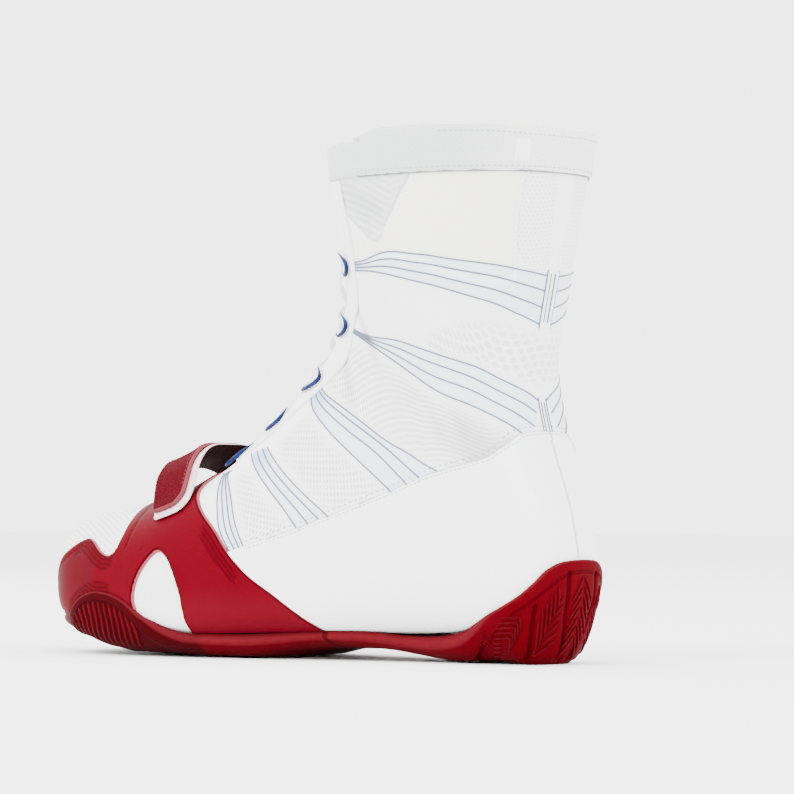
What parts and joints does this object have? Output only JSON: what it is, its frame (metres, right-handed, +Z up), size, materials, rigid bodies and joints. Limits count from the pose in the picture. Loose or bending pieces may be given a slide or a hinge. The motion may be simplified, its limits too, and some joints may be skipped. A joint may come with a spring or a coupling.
{
  "type": "boxing boot",
  "caption": "High boxing boot for the left foot with a laced shaft, a glossy heel quarter, a red forefoot wrap, an instep strap and a cupped rubber outsole.",
  "frame": {"origin": "on the floor under the middle of the heel's flat spot", "axes": "+X to the toe, +Y to the outer side of the foot, +Z up; the boot stands on its sole"},
  "size_m": [0.3044, 0.107, 0.239],
  "materials": {
    "sole": "matt deep red rubber",
    "upper": "white mesh and woven fabric",
    "insole": "pale textile over foam",
    "tongue": "white padded textile",
    "quarter": "glossy white synthetic leather",
    "wrap": "satin red synthetic leather",
    "cuff": "grey-white woven band",
    "eyestay": "smooth white synthetic",
    "lace": "flat white woven lace",
    "loop": "dark blue cord",
    "backing": "pale pink hook-and-loop textile"
  },
  "bodies": {
    "root": {"outsole": "sole", "upper": "upper", "insole": "insole", "tongue": "tongue", "heel_quarter": "quarter", "forefoot_wrap": "wrap", "collar_cuff": "cuff", "eyestay_outer": "eyestay", "eyestay_inner": "eyestay", "strap": "wrap", "strap_backing": "backing", "lace": "lace", "lace_loop_outer_1": "loop", "lace_loop_inner_1": "loop", "lace_loop_outer_2": "loop", "lace_loop_inner_2": "loop", "lace_loop_outer_3": "loop", "lace_loop_inner_3": "loop", "lace_loop_outer_4": "loop", "lace_loop_inner_4": "loop", "lace_loop_outer_5": "loop", "lace_loop_inner_5": "loop"}
  },
  "joints": []
}
